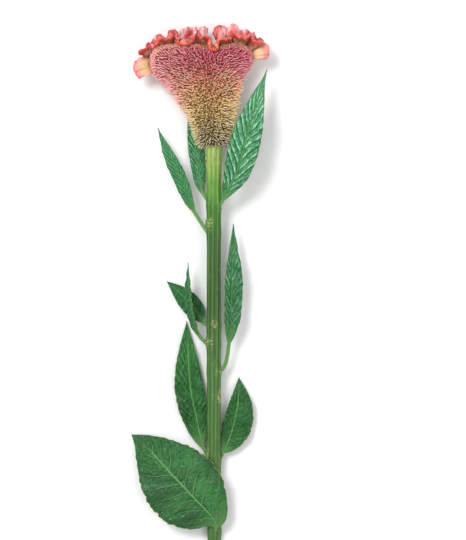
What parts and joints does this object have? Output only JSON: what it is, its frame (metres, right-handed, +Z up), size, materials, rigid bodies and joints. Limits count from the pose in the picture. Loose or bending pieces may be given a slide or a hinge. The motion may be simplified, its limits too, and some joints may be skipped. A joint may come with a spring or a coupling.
{
  "type": "crested celosia flower stem",
  "caption": "Cut stem of crested celosia (cockscomb): ridged green stem, alternate leaves, fan-shaped floret head and a ruffled coral crest, lying on its back.",
  "frame": {"origin": "the small flat spot under the stem at its cut end, on the surface that the flower lies on", "axes": "+Y along the stem from the cut end to the crest, +Z up, out of the front of the head, +X to the right of the head seen from the front"},
  "size_m": [0.1114, 0.4157, 0.0336],
  "materials": {
    "stem": "fresh green stem, ridged, satin",
    "leaf": "fresh leaf, veined, satin",
    "head_florets": "dry papery florets, rough",
    "crest": "velvety crest, soft sheen"
  },
  "bodies": {
    "root": {"stem": "stem", "head_florets": "head_florets", "crest": "crest", "leaf_1": "leaf", "leaf_2": "leaf", "leaf_3": "leaf", "leaf_4": "leaf", "leaf_5": "leaf", "leaf_6": "leaf", "leaf_7": "leaf", "leaf_8": "leaf", "leaf_9": "leaf"}
  },
  "joints": []
}
